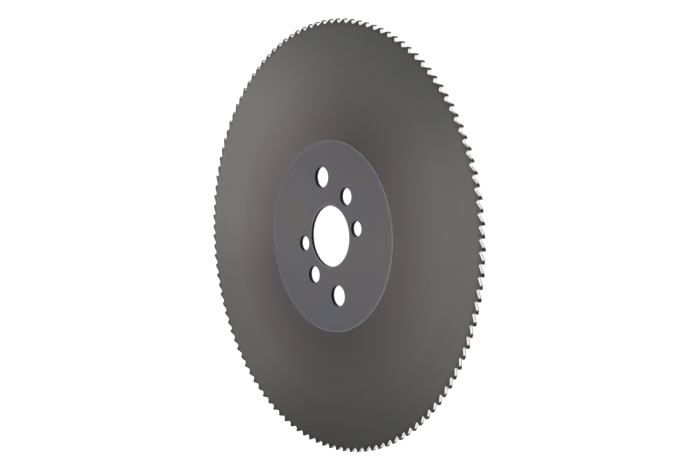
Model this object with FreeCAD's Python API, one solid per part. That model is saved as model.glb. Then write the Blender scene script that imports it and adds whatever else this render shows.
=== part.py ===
import FreeCAD, Part
import math
import os

# One-piece circular saw blade for cutting metal, with pin holes for its drive and
# bevelled teeth. It lies flat: Z runs along the bore, and the origin is the bore's
# centre on the hub's back face. Lengths are in millimetres and angles in degrees.

# Blank: full thickness at the hub and at the rim, ground thinner between them
BLADE_DIAMETER = 225.0
BLADE_THICKNESS = 2.0
RIM_WIDTH = 5.0
HUB_DIAMETER = 100.0
HUB_STEP = 0.2
HUB_STEP_WIDTH = 0.35

# Bore, and the drive pin holes in pairs that lie opposite each other on a circle
BORE_DIAMETER = 32.0
BORE_CHAMFER = 0.25
LARGE_PIN_DIAMETER = 11.0
LARGE_PIN_CIRCLE = 63.0
LARGE_PIN_ANGLE = 90.0
MIDDLE_PIN_DIAMETER = 9.0
MIDDLE_PIN_CIRCLE = 50.0
MIDDLE_PIN_ANGLE = 45.0
SMALL_PIN_DIAMETER = 8.0
SMALL_PIN_CIRCLE = 45.0
SMALL_PIN_ANGLE = 0.0

# Teeth: each has a rake face, a land, a steeper back and a round gullet ahead of it.
# The land and the back fall by their angles from the tip circle's tangent, and so
# does the gullet's floor where the back runs into it.
TOOTH_COUNT = 120
TOOTH_HEIGHT = 2.4
FIRST_TOOTH_ANGLE = 1.84
RAKE_ANGLE = 12.0
RELIEF_ANGLE = 8.0
BACK_ANGLE = 35.0
FLOOR_ANGLE = 4.0
GULLET_RADIUS = 1.45
BEVEL_LEG = 0.4

# How far a cutting shape stands clear of what it cuts
OVERCUT = 1.0

TIP_RADIUS = BLADE_DIAMETER / 2
PITCH_ANGLE = 360.0 / TOOTH_COUNT
ORIGIN = FreeCAD.Vector(0, 0, 0)
UP = FreeCAD.Vector(0, 0, 1)


def polar(radius, angle):
    """The point at a radius and an angle round the bore."""
    turn = math.radians(angle)
    return FreeCAD.Vector(radius * math.cos(turn), radius * math.sin(turn), 0)


def turned(shape, angle):
    """A copy of a shape, turned round the bore."""
    return shape.copy().rotate(ORIGIN, UP, angle)


def revolved(corners):
    """The solid that a section of (radius, height) corners sweeps round the bore."""
    points = [FreeCAD.Vector(radius, 0, height) for radius, height in corners]
    return Part.Face(Part.makePolygon(points + points[:1])).revolve(ORIGIN, UP, 360)


def ground_blank():
    """The disc without holes or teeth, with both sides ground back beyond the hub."""
    hub_radius = HUB_DIAMETER / 2
    front = [
        (0, BLADE_THICKNESS),
        (hub_radius, BLADE_THICKNESS),
        (hub_radius + HUB_STEP_WIDTH, BLADE_THICKNESS - HUB_STEP),
        (TIP_RADIUS - RIM_WIDTH, BLADE_THICKNESS),
        (TIP_RADIUS + OVERCUT, BLADE_THICKNESS),
    ]
    back = [(radius, BLADE_THICKNESS - height) for radius, height in reversed(front)]
    return revolved(front + back)


def bore_cutter():
    """The bore, chamfered where it meets both hub faces."""
    radius = BORE_DIAMETER / 2
    wide = radius + BORE_CHAMFER + OVERCUT
    return revolved([
        (0, -OVERCUT),
        (wide, -OVERCUT),
        (radius, BORE_CHAMFER),
        (radius, BLADE_THICKNESS - BORE_CHAMFER),
        (wide, BLADE_THICKNESS + OVERCUT),
        (0, BLADE_THICKNESS + OVERCUT),
    ])


def pin_pair(diameter, circle, angle):
    """Cutters for two pin holes that lie opposite each other."""
    foot = polar(circle / 2, angle) - UP * OVERCUT
    height = BLADE_THICKNESS + 2 * OVERCUT
    cutter = Part.makeCylinder(diameter / 2, height, foot, UP)
    return [cutter, turned(cutter, 180.0)]


def hole_cutters():
    """Cutters for the bore and the three pairs of pin holes."""
    cutters = [bore_cutter()]
    cutters += pin_pair(LARGE_PIN_DIAMETER, LARGE_PIN_CIRCLE, LARGE_PIN_ANGLE)
    cutters += pin_pair(MIDDLE_PIN_DIAMETER, MIDDLE_PIN_CIRCLE, MIDDLE_PIN_ANGLE)
    cutters += pin_pair(SMALL_PIN_DIAMETER, SMALL_PIN_CIRCLE, SMALL_PIN_ANGLE)
    return cutters


# The first tooth has its tip on the X axis and cuts towards smaller angles, so its
# land and back lie on the side of growing angles. The next tooth's rake face ends
# the gullet between them.
TIP = polar(TIP_RADIUS, 0)
NEXT_TIP = polar(TIP_RADIUS, PITCH_ANGLE)
ALONG_LAND = polar(1, 90 + RELIEF_ANGLE)
OFF_LAND = polar(1, RELIEF_ANGLE)
OFF_BACK = polar(1, BACK_ANGLE)
DOWN_RAKE = polar(1, 180 + PITCH_ANGLE - RAKE_ANGLE)
INTO_RAKE = polar(1, 90 + PITCH_ANGLE - RAKE_ANGLE)


def gullet_centre():
    """The gullet's centre: its radius off the rake face, and a tooth height deep."""
    start = NEXT_TIP - INTO_RAKE * GULLET_RADIUS
    centre_radius = TIP_RADIUS - TOOTH_HEIGHT + GULLET_RADIUS
    inward = -start.dot(DOWN_RAKE)
    depth = inward - math.sqrt(inward ** 2 - start.dot(start) + centre_radius ** 2)
    return start + DOWN_RAKE * depth


def back_end():
    """Where the back runs into the gullet's floor."""
    return gullet_centre() + polar(GULLET_RADIUS, 180 + FLOOR_ANGLE)


def land_length():
    """How far the land runs from the tip before the back falls away from it."""
    return (back_end() - TIP).dot(OFF_BACK) / ALONG_LAND.dot(OFF_BACK)


def tooth_edges():
    """One pitch of the outline: land, back, gullet and the next tooth's rake face."""
    land_end = TIP + ALONG_LAND * land_length()
    rake_end = gullet_centre() + INTO_RAKE * GULLET_RADIUS
    gullet_middle = gullet_centre() + DOWN_RAKE * GULLET_RADIUS
    return [
        Part.LineSegment(TIP, land_end).toShape(),
        Part.LineSegment(land_end, back_end()).toShape(),
        Part.Arc(back_end(), gullet_middle, rake_end).toShape(),
        Part.LineSegment(rake_end, NEXT_TIP).toShape(),
    ]


def toothed_outline():
    """A prism of the whole toothed outline, taller than the blade."""
    tooth = Part.Wire(tooth_edges())
    edges = []
    for index in range(TOOTH_COUNT):
        edges += turned(tooth, FIRST_TOOTH_ANGLE + index * PITCH_ANGLE).Edges
    face = Part.Face(Part.Wire(edges))
    face.translate(UP * -OVERCUT)
    return face.extrude(UP * (BLADE_THICKNESS + 2 * OVERCUT))


def bevel_cutter(side):
    """A wedge that takes a corner off the first tooth's land.

    The side is 1 for the front corner and -1 for the back one.
    """
    face_height = UP * (BLADE_THICKNESS * (1 + side) / 2)
    start = TIP + face_height - ALONG_LAND * OVERCUT
    reach = BEVEL_LEG + OVERCUT
    inner = start - OFF_LAND * reach + UP * side * OVERCUT
    lower = start + OFF_LAND * OVERCUT - UP * side * reach
    outer = start + OFF_LAND * OVERCUT + UP * side * OVERCUT
    wedge = Part.Face(Part.makePolygon([inner, lower, outer, inner]))
    run_out = BEVEL_LEG / math.tan(math.radians(BACK_ANGLE - RELIEF_ANGLE))
    return wedge.extrude(ALONG_LAND * (land_length() + run_out + 2 * OVERCUT))


def bevel_cutters():
    """A wedge for every tooth, on the back and the front corner by turns."""
    wedges = [bevel_cutter(-1), bevel_cutter(1)]
    cutters = []
    for index in range(TOOTH_COUNT):
        turn = FIRST_TOOTH_ANGLE + index * PITCH_ANGLE
        cutters.append(turned(wedges[index % 2], turn))
    return cutters


def saw_blade():
    """The finished blade, one solid."""
    blade = ground_blank().cut(hole_cutters())
    blade = blade.common(toothed_outline())
    blade = blade.cut(bevel_cutters())
    return blade.Solids[0]


os.makedirs("parts", exist_ok=True)
saw_blade().exportStep("parts/saw_blade.step")
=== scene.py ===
import math

import bmesh
import bpy
from mathutils import Matrix, Vector
from mathutils.geometry import delaunay_2d_cdt


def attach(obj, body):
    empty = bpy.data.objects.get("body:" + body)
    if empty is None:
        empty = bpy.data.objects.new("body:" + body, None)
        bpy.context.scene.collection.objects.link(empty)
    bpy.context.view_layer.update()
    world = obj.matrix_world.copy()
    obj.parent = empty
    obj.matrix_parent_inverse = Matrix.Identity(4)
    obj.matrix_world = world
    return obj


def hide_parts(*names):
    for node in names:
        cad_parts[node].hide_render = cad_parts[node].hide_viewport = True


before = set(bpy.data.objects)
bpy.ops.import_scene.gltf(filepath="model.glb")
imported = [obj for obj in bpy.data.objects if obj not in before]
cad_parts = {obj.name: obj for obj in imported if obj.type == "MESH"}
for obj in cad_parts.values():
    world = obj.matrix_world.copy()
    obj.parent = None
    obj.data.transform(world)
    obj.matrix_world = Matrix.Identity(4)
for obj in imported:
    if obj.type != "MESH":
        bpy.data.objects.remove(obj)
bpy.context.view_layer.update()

# The blade as it was built, in millimetres and degrees. It lies flat: Z runs along the
# bore, and the origin is the bore's centre on the hub's back face. Each pair of pin holes
# has a radius, the radius of its circle and an angle.
TIP_RADIUS = 112.5
THICKNESS = 2.0
FLAT_RIM_RADIUS = 107.5
HUB_RADIUS = 50.0
HUB_STEP = 0.2
HUB_STEP_WIDTH = 0.35
BORE_RADIUS = 16.0
BORE_CHAMFER = 0.25
PIN_HOLES = ((5.5, 31.5, 90.0), (4.5, 25.0, 45.0), (4.0, 22.5, 0.0))
TOOTH_COUNT = 120
TOOTH_HEIGHT = 2.4
FIRST_TOOTH_ANGLE = 1.84
RAKE_ANGLE = 12.0
RELIEF_ANGLE = 8.0
BACK_ANGLE = 35.0
FLOOR_ANGLE = 4.0
GULLET_RADIUS = 1.45
BEVEL_LEG = 0.4
PITCH_ANGLE = 360.0 / TOOTH_COUNT

# Small roundings and edge breaks, which the solid leaves as plain corners
KNEE_RADIUS = 1.4
FOOT_RADIUS = 0.6
HUB_EDGE_RADIUS = 0.6
STEP_FOOT_RADIUS = 0.5
PIN_EDGE_BREAK = 0.15

# How finely the forms are divided
RING_PER_PITCH = 4
RING_STEPS = TOOTH_COUNT * RING_PER_PITCH
WEB_RINGS = 12
GULLET_STEPS = 12
KNEE_STEPS = 6
FOOT_STEPS = 4
HUB_EDGE_STEPS = 3
STEP_FOOT_STEPS = 5
BORE_STEPS = 240
PIN_STEPS = 96

# Faces that meet at a larger angle than this keep a sharp edge between them
SHARP_ANGLE = 24.0

# Points on the hub faces that are closer than this, in millimetres, count as one
SAME_POINT = 1e-6

# Which part of a noise's range is spread over the values that it drives
NOISE_SPAN = (0.25, 0.75)
GRAIN_SPAN = (0.2, 0.8)

# Noises in the blade's own space, in metres: scale, detail and roughness. The lines on
# the walls run across the thickness, so they have a scale for each axis as well.
TINT_NOISE = (22.0, 3.0, 0.55)
HUB_CLOUD = (32.0, 3.0, 0.55)
EDGE_CLOUD = (300.0, 3.0, 0.6)
HOLE_CLOUD = (900.0, 3.0, 0.6)
PAINTED_SHADE_PATCHES = (900.0, 3.0, 0.6)
BEVEL_CLOUD = (1500.0, 3.0, 0.6)
WALL_LINES = (1.0, 3.0, 0.6)
WALL_LINE_SCALE = (9000.0, 9000.0, 500.0)

# Noises drawn out round the bore: scales along the arc and across it, detail, roughness
BAND_NOISE = (0.7, 0.45, 4.0, 0.6)
HEAT_NOISE = (20.0, 0.5, 2.0, 0.5)
WEB_LINES = (9.0, 7.0, 3.0, 0.7)
HUB_LINES = (14.0, 6.0, 3.0, 0.7)

# The tint of the ground faces, by the share of the way between two radii in millimetres.
# Its rings lie round a centre of their own, in metres, and drift in and out by some
# millimetres.
TINT_RADII = (50.0, 110.0)
TINT_COLOURS = (
    (0.02, (0.142, 0.129, 0.131)),
    (0.08, (0.147, 0.130, 0.127)),
    (0.34, (0.147, 0.131, 0.125)),
    (0.56, (0.140, 0.134, 0.126)),
    (0.72, (0.137, 0.134, 0.126)),
    (0.86, (0.136, 0.133, 0.131)),
)
TINT_CENTRE = (-0.0055, -0.002, 0.001)
TINT_DRIFT = 7.0

# How light the ground faces are: lighter with the radius, and in faint bands
SHADE_RADII = (55.0, 86.0)
SHADE = (0.65, 0.90)
BAND_SHADE = (0.97, 1.03)

# The darker, browner tint that grinding the teeth has left: where it sets in and how far
# that drifts, in millimetres
HEAT_RADII = (108.6, 111.0)
HEAT_DRIFT = 0.3
HEAT_TINT = (0.70, 0.64, 0.61, 1.0)

# The hub's colours, from the cooler to the warmer patches. Painted highlights lighten them towards
# the hub's
# edge, and in a fine ring round the bore: where, in millimetres, and how much lighter.
HUB_COLOURS = (
    (0.36, (0.125, 0.128, 0.145)),
    (0.50, (0.131, 0.126, 0.137)),
    (0.64, (0.138, 0.128, 0.127)),
)
EDGE_HIGHLIGHT_RADII = (48.4, 49.6)
EDGE_HIGHLIGHT = 1.12
BORE_HIGHLIGHT_RADIUS = 16.8
BORE_HIGHLIGHT_WIDTHS = (0.10, 0.45)
BORE_HIGHLIGHT = 1.35

# The other finishes' colours, from the darker to the lighter patches
WALL_COLOURS = ((0.3, (0.82, 0.81, 0.79)), (0.7, (0.92, 0.91, 0.89)))
# The bevels' colours are painted shade, dark all over
BEVEL_PAINTED_SHADE_COLOURS = ((0.3, (0.08, 0.075, 0.07)), (0.7, (0.12, 0.115, 0.11)))
HOLE_COLOURS = ((0.3, (0.010, 0.010, 0.011)), (0.7, (0.020, 0.019, 0.020)))
EDGE_COLOURS = ((0.3, (0.22, 0.22, 0.22)), (0.7, (0.32, 0.32, 0.32)))

# Painted shade on the walls round the teeth: dark on the lands, and along both edges of the faces
# that look backwards. The radii it sets in at and their drift are in millimetres, its distances
# from the middle of the thickness are in metres, and how far a face looks ahead is a cosine.
PAINTED_SHADE_COLOUR = (0.05, 0.045, 0.042, 1.0)
PAINTED_SHADE_RADII = (111.75, 112.05)
PAINTED_SHADE_DRIFT = 0.12
PAINTED_SHADE_EDGE = (0.00060, 0.00080)
PAINTED_SHADE_FACING = (0.10, -0.15)
PAINTED_SHADE_METALLIC = 0.6

# How rough each finish is, from the smoother to the rougher patches
WEB_ROUGHNESS = (0.30, 0.36)
HUB_ROUGHNESS = (0.44, 0.52)
WALL_ROUGHNESS = (0.30, 0.42)
BEVEL_ROUGHNESS = (0.20, 0.28)
HOLE_ROUGHNESS = (0.50, 0.62)
EDGE_ROUGHNESS = (0.36, 0.46)

# How strongly the grain tilts each surface, and how deep it is in metres
WEB_BUMP = (0.15, 0.00002)
HUB_BUMP = (0.10, 0.00002)
WALL_BUMP = (0.15, 0.00001)
HOLE_BUMP = (0.15, 0.00003)

# The floor, in metres: how far it reaches and how far it lies below the blade. Then how
# light its colour is, and how brightly it glows where it is seen.
FLOOR_REACH = 12.0
FLOOR_GAP = 0.00002
FLOOR_GREY = 0.35
FLOOR_GLOW = 0.90

# The soft boxes: name, angle from X and height in degrees, distance, width and height in
# metres, and radiance
SOFT_BOXES = (
    ("near_soft_box", 180.0, 30.0, 0.50, 0.18, 0.15, 0.93),
    ("low_soft_box", 163.0, 32.0, 1.37, 0.34, 0.26, 3.02),
    ("high_soft_box", 185.0, 62.0, 2.49, 1.44, 1.34, 1.78),
)

# The room: its direction behind the soft boxes, in degrees, its brightness there and far
# from there, and the cosines between which it grows
BEHIND_BOXES = (172.0, 38.0)
ROOM_LEVELS = (0.12, 0.90)
ROOM_COSINES = (0.97, 0.55)

# The white horizon fades between these heights, each the sine of an angle
HORIZON_HEIGHTS = (0.03, 0.16)

# The dark stand that the camera is on: its direction, the cosines between which it sets
# in, and how much of the room's light is left there
STAND = (-8.0, 38.0)
STAND_COSINES = (0.70, 0.90)
STAND_LEVEL = 0.30

# The camera, in metres, from the outlines of the blade and its holes in the photograph
CAMERA_PLACE = Vector((0.50187, -0.06733, 0.39541))
CAMERA_RIGHT = Vector((0.61269, -0.13808, -0.77817))
CAMERA_UP = Vector((0.16789, 0.98489, -0.04257))
CAMERA_LENS = 63.10
SENSOR_WIDTH = 36.0

MM = 0.001


def polar(radius, angle):
    """The flat point at a radius and an angle round the bore."""
    turn = math.radians(angle)
    return Vector((radius * math.cos(turn), radius * math.sin(turn)))


def turned(point, angle):
    """A flat point, turned round the bore."""
    return Matrix.Rotation(math.radians(angle), 2) @ point


def arc(centre, radius, start, end, steps):
    """Points along an arc, both ends included."""
    angles = [start + (end - start) * step / steps for step in range(steps + 1)]
    return [centre + polar(radius, angle) for angle in angles]


def circle(centre, radius, steps):
    """A circle's points."""
    return arc(centre, radius, 0.0, 360.0, steps)[:-1]


def fillet(before, corner, after, radius, steps):
    """Points of the arc that rounds a corner."""
    back = (before - corner).normalized()
    ahead = (after - corner).normalized()
    half = back.angle(ahead) / 2
    centre = corner + (back + ahead).normalized() * radius / math.sin(half)
    first = corner + back * radius / math.tan(half) - centre
    last = corner + ahead * radius / math.tan(half) - centre
    share = [step / steps for step in range(steps + 1)]
    return [centre + first.normalized().slerp(last.normalized(), t) * radius for t in share]


# One tooth with its tip on the X axis, cutting towards smaller angles
TIP = polar(TIP_RADIUS, 0)
NEXT_TIP = polar(TIP_RADIUS, PITCH_ANGLE)
ALONG_LAND = polar(1, 90 + RELIEF_ANGLE)
OFF_LAND = polar(1, RELIEF_ANGLE)
ALONG_BACK = polar(1, 90 + BACK_ANGLE)
OFF_BACK = polar(1, BACK_ANGLE)
RAKE_TURN = 180 + PITCH_ANGLE - RAKE_ANGLE
DOWN_RAKE = polar(1, RAKE_TURN)
INTO_RAKE = polar(1, RAKE_TURN - 90)


def gullet_centre():
    """The gullet's centre: its radius off the rake face, and a tooth height deep."""
    start = NEXT_TIP - INTO_RAKE * GULLET_RADIUS
    centre_radius = TIP_RADIUS - TOOTH_HEIGHT + GULLET_RADIUS
    inward = -start.dot(DOWN_RAKE)
    depth = inward - math.sqrt(inward ** 2 - start.dot(start) + centre_radius ** 2)
    return start + DOWN_RAKE * depth


def tooth_outline():
    """One pitch of the outline, from a tip to just before the next one.

    The knee between land and back is rounded, and so is the foot between back and gullet.
    """
    centre = gullet_centre()
    back_end = centre + polar(GULLET_RADIUS, 180 + FLOOR_ANGLE)
    land_length = (back_end - TIP).dot(OFF_BACK) / ALONG_LAND.dot(OFF_BACK)
    knee = TIP + ALONG_LAND * land_length
    bevel_end = knee + ALONG_BACK * BEVEL_LEG / math.sin(math.radians(BACK_ANGLE - RELIEF_ANGLE))
    off = FOOT_RADIUS - (centre - back_end).dot(OFF_BACK)
    along = math.sqrt((GULLET_RADIUS - FOOT_RADIUS) ** 2 - off ** 2)
    foot = centre + ALONG_BACK * along + OFF_BACK * off
    foot_end = 90 + BACK_ANGLE - math.degrees(math.atan2(off, along))
    rake_depth = BEVEL_LEG / math.cos(math.radians(RAKE_ANGLE + RELIEF_ANGLE))
    points = [TIP]
    points += fillet(TIP, knee, back_end, KNEE_RADIUS, KNEE_STEPS)
    points += [bevel_end]
    points += arc(foot, FOOT_RADIUS, 180 + BACK_ANGLE, foot_end, FOOT_STEPS)
    points += arc(centre, GULLET_RADIUS, foot_end, RAKE_TURN - 90, GULLET_STEPS)[1:]
    points += [NEXT_TIP + DOWN_RAKE * rake_depth]
    return points


# The outline's points for one pitch, how many of them a bevel can reach, and which one is
# in the middle of the gullet. The rings of the rim and the web start at its angle.
TOOTH = tooth_outline()
BEVEL_REACH = KNEE_STEPS + 2
GULLET_MIDDLE = len(TOOTH) - GULLET_STEPS // 2 - 2
RING_START = math.degrees(math.atan2(*turned(TOOTH[GULLET_MIDDLE], FIRST_TOOTH_ANGLE).yx))


class Shell:
    """The blade's surface, made of faces that share their corners."""

    def __init__(self):
        self.mesh = bmesh.new()
        self.corners = {}

    def corner(self, point, height):
        """The corner at a flat point and a height, made once."""
        key = (round(point.x, 4), round(point.y, 4), round(height, 4))
        if key not in self.corners:
            self.corners[key] = self.mesh.verts.new((point.x, point.y, height))
        return self.corners[key]

    def face(self, corners, finish, flip=False):
        """A face through the corners that differ from the one before them."""
        unique = [c for n, c in enumerate(corners) if c is not corners[n - 1]]
        if len(unique) < 3:
            return
        if flip:
            unique.reverse()
        self.mesh.faces.new(unique).material_index = finish

    def band(self, inner, outer, finish, flip=False):
        """A strip of faces between two closed runs of corners."""
        for n in range(len(inner)):
            corners = [inner[n - 1], outer[n - 1], outer[n], inner[n]]
            self.face(corners, finish, flip)


# The finishes, in the order of the blade's materials
FACE, HUB, BARE, BEVEL, WALL, EDGE = range(6)


def side_height(side, depth=0.0):
    """The height of a point that lies a depth below the front or the back face."""
    return THICKNESS - depth if side > 0 else depth


def outline_points():
    """Every outline point, with its tooth's number and how far a bevel cuts its corner."""
    points = []
    for index in range(TOOTH_COUNT):
        turn = FIRST_TOOTH_ANGLE + index * PITCH_ANGLE
        for place, point in enumerate(TOOTH):
            cut = 0.0
            if place < BEVEL_REACH:
                cut = BEVEL_LEG - (TIP - point).dot(OFF_LAND)
            # The last point of a pitch lies on the next tooth's rake face
            tooth = (index + place // (len(TOOTH) - 1)) % TOOTH_COUNT
            points.append((turned(point, turn), tooth, cut))
    return points


def bevelled(tooth, side):
    """Whether a tooth is bevelled on that side: the front on odd teeth, the back on even."""
    return (tooth % 2 == 1) == (side > 0)


def add_teeth(shell):
    """The walls round the teeth, their bevels, and the flat rim on both sides."""
    points = outline_points()
    count = len(points)

    def cut(index, side):
        _, tooth, corner_cut = points[index % count]
        return round(corner_cut, 6) if bevelled(tooth, side) else 0.0

    def at(index, side):
        point = points[index % count][0]
        return shell.corner(point, side_height(side, cut(index, side)))

    for index in range(count):
        corners = [at(index, -1), at(index + 1, -1), at(index + 1, 1), at(index, 1)]
        shell.face(corners, BARE)
    for side in (1, -1):
        for tooth in range(TOOTH_COUNT):
            if bevelled(tooth, side):
                start = tooth * len(TOOTH)
                run = [start - 1]
                run += [n for n in range(start, start + len(TOOTH)) if cut(n, side) > 0]
                run.append(run[-1] + 1)
                shell.face([at(n, side) for n in run], BEVEL, flip=side < 0)
        add_rim_face(shell, side, cut, at)


def add_rim_face(shell, side, cut, at):
    """The flat rim on one side, a pitch at a time from gullet to gullet."""
    for tooth in range(TOOTH_COUNT):
        first = tooth * len(TOOTH) + GULLET_MIDDLE
        outer = [n for n in range(first, first + len(TOOTH) + 1) if cut(n, side) == 0]
        corners = [at(n, side) for n in outer]
        ring = [shell.corner(point, side_height(side)) for point in rim_ring(tooth)]
        shell.face(corners + ring[::-1], FACE, flip=side < 0)


def rim_ring(tooth):
    """Points on the flat rim's inner circle, over the pitch that follows a gullet."""
    start = RING_START + tooth * PITCH_ANGLE
    step = PITCH_ANGLE / RING_PER_PITCH
    return [polar(FLAT_RIM_RADIUS, start + step * n) for n in range(RING_PER_PITCH + 1)]


def full_ring(radius):
    """A circle whose points lie in line with the flat rim's inner circle."""
    return [polar(radius, RING_START + 360.0 * n / RING_STEPS) for n in range(RING_STEPS)]


def side_section():
    """The section from the hub's edge to the flat rim, and which of its points ends the step.

    Each point is a radius and a depth below the face.
    """
    hub_edge = Vector((HUB_RADIUS, 0.0))
    step_foot = Vector((HUB_RADIUS + HUB_STEP_WIDTH, HUB_STEP))
    rim = Vector((FLAT_RIM_RADIUS, 0.0))
    bore_axis = Vector((0.0, 0.0))
    edge = fillet(bore_axis, hub_edge, step_foot, HUB_EDGE_RADIUS, HUB_EDGE_STEPS)
    foot = fillet(hub_edge, step_foot, rim, STEP_FOOT_RADIUS, STEP_FOOT_STEPS)
    web = [foot[-1].lerp(rim, n / WEB_RINGS) for n in range(1, WEB_RINGS + 1)]
    return edge + foot + web, len(edge)


def add_web(shell):
    """The step round the hub, and the web that is ground thinner beyond it."""
    section, step_end = side_section()
    for side in (1, -1):
        rings = []
        for radius, depth in section:
            height = side_height(side, depth)
            rings.append([shell.corner(point, height) for point in full_ring(radius)])
        for n in range(len(rings) - 1):
            finish = EDGE if n < step_end else FACE
            shell.band(rings[n], rings[n + 1], finish, side < 0)


def hub_holes():
    """Each hole in the hub: its centre, radius, edge break, steps and its edge's finish."""
    holes = [(Vector((0.0, 0.0)), BORE_RADIUS, BORE_CHAMFER, BORE_STEPS, EDGE)]
    for radius, circle_radius, angle in PIN_HOLES:
        for turn in (0.0, 180.0):
            centre = polar(circle_radius, angle + turn)
            holes.append((centre, radius, PIN_EDGE_BREAK, PIN_STEPS, WALL))
    return holes


def add_holes(shell):
    """The walls and the edge breaks of the bore and the pin holes."""
    for centre, radius, edge_break, steps, finish in hub_holes():
        mouth = circle(centre, radius + edge_break, steps)
        wall = circle(centre, radius, steps)
        for side in (1, -1):
            outer = [shell.corner(point, side_height(side)) for point in mouth]
            inner = [shell.corner(point, side_height(side, edge_break)) for point in wall]
            shell.band(inner, outer, finish, side < 0)
        top = [shell.corner(point, side_height(1, edge_break)) for point in wall]
        foot = [shell.corner(point, side_height(-1, edge_break)) for point in wall]
        shell.band(foot, top, WALL)


def add_hub_faces(shell):
    """Both hub faces, in triangles between the hub's edge and the holes' mouths."""
    section, _ = side_section()
    loops = [full_ring(section[0].x)]
    for centre, radius, edge_break, steps, _ in hub_holes():
        loops.append(circle(centre, radius + edge_break, steps))
    points = [point for loop in loops for point in loop]
    outlines = []
    start = 0
    for loop in loops:
        outlines.append(list(range(start, start + len(loop))))
        start += len(loop)
    found = delaunay_2d_cdt(points, [], outlines, 0, SAME_POINT)
    places, triangles, loops_round = found[0], found[2], found[5]
    for triangle, inside in zip(triangles, loops_round):
        # A triangle that lies inside the hub's edge alone isn't in a hole
        if inside == [0]:
            for side in (1, -1):
                corners = [shell.corner(places[n], side_height(side)) for n in triangle]
                shell.face(corners, HUB, side < 0)


def blade_mesh():
    """The whole blade as one closed mesh, in metres."""
    shell = Shell()
    add_teeth(shell)
    add_web(shell)
    add_holes(shell)
    add_hub_faces(shell)
    bmesh.ops.scale(shell.mesh, vec=(MM, MM, MM), verts=shell.mesh.verts)
    mesh = bpy.data.meshes.new("saw_blade_dressed")
    shell.mesh.to_mesh(mesh)
    shell.mesh.free()
    mesh.shade_smooth()
    mesh.set_sharp_from_angle(angle=math.radians(SHARP_ANGLE))
    return mesh


class Nodes:
    """Adds shader nodes to a material or to the world, and links them."""

    def __init__(self, owner):
        owner.use_nodes = True
        self.owner = owner
        self.tree = owner.node_tree

    def add(self, kind, inputs=(), **settings):
        """A node, with its inputs by name or number."""
        node = self.tree.nodes.new(kind)
        for name, value in settings.items():
            setattr(node, name, value)
        for name, value in dict(inputs).items():
            self.feed(node.inputs[name], value)
        return node

    def feed(self, socket, value):
        """Link a socket to another, or set its value."""
        if isinstance(value, bpy.types.NodeSocket):
            self.tree.links.new(value, socket)
        else:
            socket.default_value = value

    def math(self, operation, first, second=0.0):
        """The number from one or two numbers."""
        return self.add("ShaderNodeMath", {0: first, 1: second}, operation=operation).outputs[0]

    def vector(self, operation, first, second=(0.0, 0.0, 0.0)):
        """The outputs of one or two vectors: Vector, or Value where it is a number."""
        inputs = {0: first, 1: second}
        return self.add("ShaderNodeVectorMath", inputs, operation=operation).outputs

    def ramp(self, factor, stops):
        """A colour from a factor, by stops of a place and a colour."""
        node = self.add("ShaderNodeValToRGB", {"Fac": factor})
        marks = node.color_ramp.elements
        while len(marks) < len(stops):
            marks.new(0.5)
        for mark, (place, colour) in zip(marks, stops):
            mark.position = place
            mark.color = (*colour, 1.0)
        return node.outputs["Color"]

    def span(self, value, low, high, to_low, to_high):
        """A value taken from one range to another, and held at its ends."""
        node = self.add("ShaderNodeMapRange", {
            "Value": value, "From Min": low, "From Max": high, "To Min": to_low, "To Max": to_high,
        })
        return node.outputs["Result"]

    def mix(self, factor, first, second, blend="MIX"):
        """Two colours mixed."""
        node = self.add("ShaderNodeMix", data_type="RGBA", blend_type=blend)
        self.feed(node.inputs[0], factor)
        self.feed(node.inputs[6], first)
        self.feed(node.inputs[7], second)
        return node.outputs[2]

    def lighter(self, colour, share):
        """A colour times a number."""
        grey = self.add("ShaderNodeCombineColor", {"Red": share, "Green": share, "Blue": share})
        return self.mix(1.0, colour, grey.outputs[0], "MULTIPLY")

    def noise(self, place, scale, detail, roughness):
        """A noise at a place."""
        node = self.add("ShaderNodeTexNoise", {
            "Vector": place, "Scale": scale, "Detail": detail, "Roughness": roughness,
        })
        return node.outputs["Fac"]

    def bump(self, height, strength, distance):
        """A normal tilted by a height."""
        inputs = {"Height": height, "Strength": strength, "Distance": distance}
        return self.add("ShaderNodeBump", inputs).outputs["Normal"]

    def object_place(self):
        """The place on the blade, in metres."""
        return self.add("ShaderNodeTexCoord").outputs["Object"]

    def round_tangent(self):
        """The direction round the bore, in which the faces are ground."""
        return self.add("ShaderNodeTangent", direction_type="RADIAL", axis="Z").outputs[0]

    def finish(self, **inputs):
        """Set the material's shader and return the material."""
        shader = self.tree.nodes["Principled BSDF"]
        for name, value in inputs.items():
            self.feed(shader.inputs[name.replace("_", " ")], value)
        return self.owner


def new_material(name):
    """The nodes of a new material."""
    return Nodes(bpy.data.materials.new(name))


def round_coordinates(nodes):
    """Place in metres, radius in millimetres, and the direction from the bore."""
    place = nodes.object_place()
    flat = nodes.vector("MULTIPLY", place, (1 / MM, 1 / MM, 0.0))["Vector"]
    radius = nodes.vector("LENGTH", flat)["Value"]
    direction = nodes.vector("NORMALIZE", flat)["Vector"]
    return place, radius, direction


def ring_noise(nodes, radius, direction, along, across, detail, roughness):
    """A noise drawn out round the bore, with scales along the arc and across it."""
    round_part = nodes.vector("MULTIPLY", direction, (along, along, along))["Vector"]
    lift = nodes.add("ShaderNodeCombineXYZ", {"Z": nodes.math("MULTIPLY", radius, across)})
    place = nodes.vector("ADD", round_part, lift.outputs[0])["Vector"]
    return nodes.noise(place, 1.0, detail, roughness)


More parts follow.
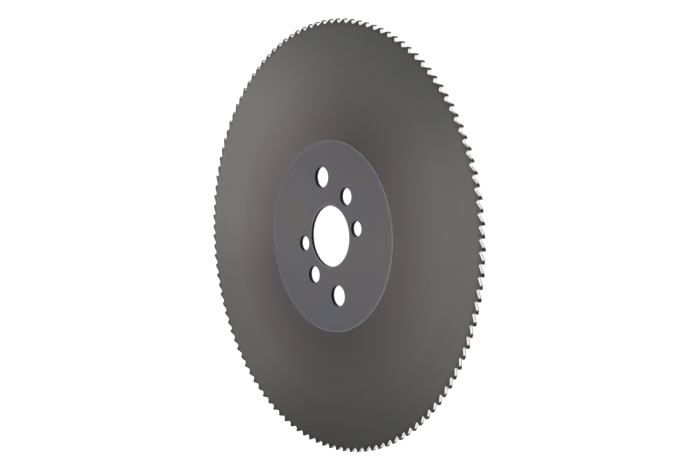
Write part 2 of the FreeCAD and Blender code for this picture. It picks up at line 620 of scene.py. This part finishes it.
def ground_face_material():
    """The web and the rim: circular grinding under a thin steam oxide."""
    nodes = new_material("oxidised_ground_steel")
    place, radius, direction = round_coordinates(nodes)
    drift = nodes.span(nodes.noise(place, *TINT_NOISE), *NOISE_SPAN, -TINT_DRIFT, TINT_DRIFT)
    from_centre = nodes.vector("DISTANCE", place, TINT_CENTRE)["Value"]
    tint_radius = nodes.math("ADD", nodes.math("MULTIPLY", from_centre, 1 / MM), drift)
    colour = nodes.ramp(nodes.span(tint_radius, *TINT_RADII, 0.0, 1.0), TINT_COLOURS)
    bands = nodes.span(ring_noise(nodes, radius, direction, *BAND_NOISE), *NOISE_SPAN, *BAND_SHADE)
    shade = nodes.math("MULTIPLY", bands, nodes.span(radius, *SHADE_RADII, *SHADE))
    colour = nodes.lighter(colour, shade)
    heat = ring_noise(nodes, radius, direction, *HEAT_NOISE)
    heat_drift = nodes.span(heat, *NOISE_SPAN, -HEAT_DRIFT, HEAT_DRIFT)
    near_teeth = nodes.span(nodes.math("ADD", radius, heat_drift), *HEAT_RADII, 0.0, 1.0)
    colour = nodes.mix(near_teeth, colour, nodes.mix(1.0, colour, HEAT_TINT, "MULTIPLY"))
    lines = ring_noise(nodes, radius, direction, *WEB_LINES)
    return nodes.finish(
        Base_Color=colour,
        Metallic=1.0,
        Roughness=nodes.span(lines, *GRAIN_SPAN, *WEB_ROUGHNESS),
        Anisotropic=0.65,
        Anisotropic_Rotation=0.25,
        Tangent=nodes.round_tangent(),
        Normal=nodes.bump(lines, *WEB_BUMP),
    )


def hub_material():
    """The hub: finer ground, with a bluer oxide."""
    nodes = new_material("oxidised_hub_steel")
    place, radius, direction = round_coordinates(nodes)
    colour = nodes.ramp(nodes.noise(place, *HUB_CLOUD), HUB_COLOURS)
    off_ring = nodes.math("ABSOLUTE", nodes.math("SUBTRACT", radius, BORE_HIGHLIGHT_RADIUS))
    at_edge = nodes.span(radius, *EDGE_HIGHLIGHT_RADII, 1.0, EDGE_HIGHLIGHT)
    at_bore = nodes.span(off_ring, *BORE_HIGHLIGHT_WIDTHS, BORE_HIGHLIGHT, 1.0)
    # Painted highlights: lighter towards the hub's edge and in a ring round the bore
    colour = nodes.lighter(colour, nodes.math("MAXIMUM", at_edge, at_bore))
    lines = ring_noise(nodes, radius, direction, *HUB_LINES)
    return nodes.finish(
        Base_Color=colour,
        Metallic=0.85,
        Roughness=nodes.span(lines, *GRAIN_SPAN, *HUB_ROUGHNESS),
        Anisotropic=0.1,
        Anisotropic_Rotation=0.25,
        Tangent=nodes.round_tangent(),
        Normal=nodes.bump(lines, *HUB_BUMP),
    )


def wall_painted_shade(nodes, place, radius, direction):
    """Where painted shade darkens the walls round the teeth: 1 under it and 0 on bare steel."""
    ahead = nodes.vector("CROSS_PRODUCT", direction, (0.0, 0.0, 1.0))["Vector"]
    normal = nodes.add("ShaderNodeTexCoord").outputs["Normal"]
    facing = nodes.vector("DOT_PRODUCT", normal, ahead)["Value"]
    on_back = nodes.span(facing, *PAINTED_SHADE_FACING, 0.0, 1.0)
    height = nodes.add("ShaderNodeSeparateXYZ", {"Vector": place}).outputs["Z"]
    off_middle = nodes.math("ABSOLUTE", nodes.math("SUBTRACT", height, THICKNESS * MM / 2))
    # Painted shade along both edges of the faces that look backwards
    at_edge = nodes.math("MULTIPLY", on_back, nodes.span(off_middle, *PAINTED_SHADE_EDGE, 0.0, 1.0))
    patches = nodes.noise(place, *PAINTED_SHADE_PATCHES)
    drift = nodes.span(patches, *NOISE_SPAN, -PAINTED_SHADE_DRIFT, PAINTED_SHADE_DRIFT)
    # Painted shade on the lands, near the tips
    at_tip = nodes.span(nodes.math("ADD", radius, drift), *PAINTED_SHADE_RADII, 0.0, 1.0)
    return nodes.math("MAXIMUM", at_edge, at_tip)


def tooth_wall_material():
    """The walls round the teeth: bright ground steel, with dark painted shade on lands and edges.
    """
    nodes = new_material("bare_ground_steel")
    place, radius, direction = round_coordinates(nodes)
    stretched = nodes.add("ShaderNodeMapping", {"Vector": place, "Scale": WALL_LINE_SCALE})
    lines = nodes.noise(stretched.outputs[0], *WALL_LINES)
    # oxide holds the painted shade: 1 where the walls are painted dark
    oxide = wall_painted_shade(nodes, place, radius, direction)
    return nodes.finish(
        # The painted shade mixes a dark colour over the bright steel
        Base_Color=nodes.mix(oxide, nodes.ramp(lines, WALL_COLOURS), PAINTED_SHADE_COLOUR),
        Metallic=nodes.span(oxide, 0.0, 1.0, 1.0, PAINTED_SHADE_METALLIC),
        Roughness=nodes.span(lines, *GRAIN_SPAN, *WALL_ROUGHNESS),
        Specular_IOR_Level=0.2,
        Specular_Tint=(0.3, 0.3, 0.3, 1.0),
        Normal=nodes.bump(lines, *WALL_BUMP),
    )


def bevel_material():
    """The bevels on the lands, dark with painted shade."""
    nodes = new_material("bevelled_steel")
    cloud = nodes.noise(nodes.object_place(), *BEVEL_CLOUD)
    return nodes.finish(
        Base_Color=nodes.ramp(cloud, BEVEL_PAINTED_SHADE_COLOURS),
        Metallic=1.0,
        Roughness=nodes.span(cloud, *GRAIN_SPAN, *BEVEL_ROUGHNESS),
        Specular_Tint=(0.3, 0.3, 0.3, 1.0),
    )


def hole_wall_material():
    """The bore's wall, and the pin holes' walls and edge breaks, under thick oxide."""
    nodes = new_material("oxidised_hole_wall")
    cloud = nodes.noise(nodes.object_place(), *HOLE_CLOUD)
    return nodes.finish(
        Base_Color=nodes.ramp(cloud, HOLE_COLOURS),
        Metallic=0.0,
        Specular_IOR_Level=0.08,
        Roughness=nodes.span(cloud, *GRAIN_SPAN, *HOLE_ROUGHNESS),
        Normal=nodes.bump(cloud, *HOLE_BUMP),
    )


def edge_material():
    """The bore's chamfer and the step round the hub, where steel shows through thin oxide."""
    nodes = new_material("worn_steel_edge")
    cloud = nodes.noise(nodes.object_place(), *EDGE_CLOUD)
    return nodes.finish(
        Base_Color=nodes.ramp(cloud, EDGE_COLOURS),
        Metallic=0.4,
        Roughness=nodes.span(cloud, *GRAIN_SPAN, *EDGE_ROUGHNESS),
        Specular_IOR_Level=0.3,
    )


def make_blade():
    """The dressed blade, which stands for the solid."""
    mesh = blade_mesh()
    for material in (
        ground_face_material(),
        hub_material(),
        tooth_wall_material(),
        bevel_material(),
        hole_wall_material(),
        edge_material(),
    ):
        mesh.materials.append(material)
    blade = bpy.data.objects.new("saw_blade_dressed", mesh)
    bpy.context.scene.collection.objects.link(blade)
    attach(blade, "root")
    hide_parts("saw_blade")


def seen_directly(nodes):
    """1 for what the camera sees, also in a reflection or through glass, and 0 for other light."""
    path = nodes.add("ShaderNodeLightPath")
    seen = nodes.math("MAXIMUM", path.outputs["Is Camera Ray"], path.outputs["Is Glossy Ray"])
    return nodes.math("MAXIMUM", seen, path.outputs["Is Transmission Ray"])


def floor_material():
    """Grey to the light that falls on it, and white where it is seen."""
    nodes = new_material("white_floor")
    grey = (FLOOR_GREY, FLOOR_GREY, FLOOR_GREY, 1.0)
    material = nodes.finish(Base_Color=grey, Roughness=0.9, Specular_IOR_Level=0.0)
    strength = nodes.math("MULTIPLY", seen_directly(nodes), FLOOR_GLOW)
    glow = nodes.add("ShaderNodeEmission", {"Strength": strength})
    diffuse = nodes.tree.nodes["Principled BSDF"]
    both = nodes.add("ShaderNodeAddShader", {0: diffuse.outputs[0], 1: glow.outputs[0]})
    nodes.feed(nodes.tree.nodes["Material Output"].inputs["Surface"], both.outputs[0])
    return material


def make_floor():
    """A plain white floor, which keeps the blade's shadow."""
    signs = ((-1, -1), (1, -1), (1, 1), (-1, 1))
    corners = [(x * FLOOR_REACH, y * FLOOR_REACH, -FLOOR_GAP) for x, y in signs]
    mesh = bpy.data.meshes.new("floor")
    mesh.from_pydata(corners, [], [(0, 1, 2, 3)])
    mesh.materials.append(floor_material())
    floor = bpy.data.objects.new("floor", mesh)
    bpy.context.scene.collection.objects.link(floor)


def direction_from(azimuth, elevation):
    """The direction of a place round the blade: its angle from X and its height, in degrees."""
    flat = polar(math.cos(math.radians(elevation)), azimuth)
    return Vector((flat.x, flat.y, math.sin(math.radians(elevation))))


def make_soft_box(name, azimuth, elevation, distance, width, height, radiance):
    """A soft box that faces the blade."""
    lamp = bpy.data.lights.new(name, "AREA")
    lamp.shape = "RECTANGLE"
    lamp.size = width
    lamp.size_y = height
    lamp.energy = radiance * math.pi * width * height
    light = bpy.data.objects.new(name, lamp)
    towards = direction_from(azimuth, elevation)
    light.location = towards * distance
    light.rotation_mode = "QUATERNION"
    light.rotation_quaternion = (-towards).to_track_quat("-Z", "Y")
    bpy.context.scene.collection.objects.link(light)


def make_lights():
    """The soft boxes, which stand across the blade from the camera."""
    for soft_box in SOFT_BOXES:
        make_soft_box(*soft_box)


def make_room():
    """A pale room with a white horizon, which is darker behind the soft boxes."""
    world = bpy.data.worlds.new("room")
    bpy.context.scene.world = world
    room = Nodes(world)
    towards = room.add("ShaderNodeTexCoord").outputs["Generated"]

    def cosine_to(azimuth, elevation):
        return room.vector("DOT_PRODUCT", towards, direction_from(azimuth, elevation))["Value"]

    walls = room.span(cosine_to(*BEHIND_BOXES), *ROOM_COSINES, *ROOM_LEVELS)
    height = room.add("ShaderNodeSeparateXYZ", {"Vector": towards}).outputs["Z"]
    near_horizon = room.span(height, *HORIZON_HEIGHTS, 1.0, 0.0)
    horizon = room.math("MULTIPLY", seen_directly(room), near_horizon)
    level = room.math("MAXIMUM", walls, horizon)
    left = room.span(cosine_to(*STAND), *STAND_COSINES, 1.0, STAND_LEVEL)
    background = room.tree.nodes["Background"]
    room.feed(background.inputs["Color"], (1.0, 1.0, 1.0, 1.0))
    room.feed(background.inputs["Strength"], room.math("MULTIPLY", level, left))


def make_camera():
    """The camera at the photograph's viewing angle."""
    data = bpy.data.cameras.new("camera")
    data.lens = CAMERA_LENS
    data.sensor_width = SENSOR_WIDTH
    data.clip_start = 0.01
    data.clip_end = 100.0
    camera = bpy.data.objects.new("camera", data)
    back = CAMERA_RIGHT.cross(CAMERA_UP)
    turn = Matrix((CAMERA_RIGHT, CAMERA_UP, back)).transposed()
    camera.matrix_world = Matrix.Translation(CAMERA_PLACE) @ turn.to_4x4()
    bpy.context.scene.collection.objects.link(camera)
    bpy.context.scene.camera = camera


make_camera()
make_blade()
make_floor()
make_lights()
make_room()
bpy.context.scene.view_settings.view_transform = "Standard"
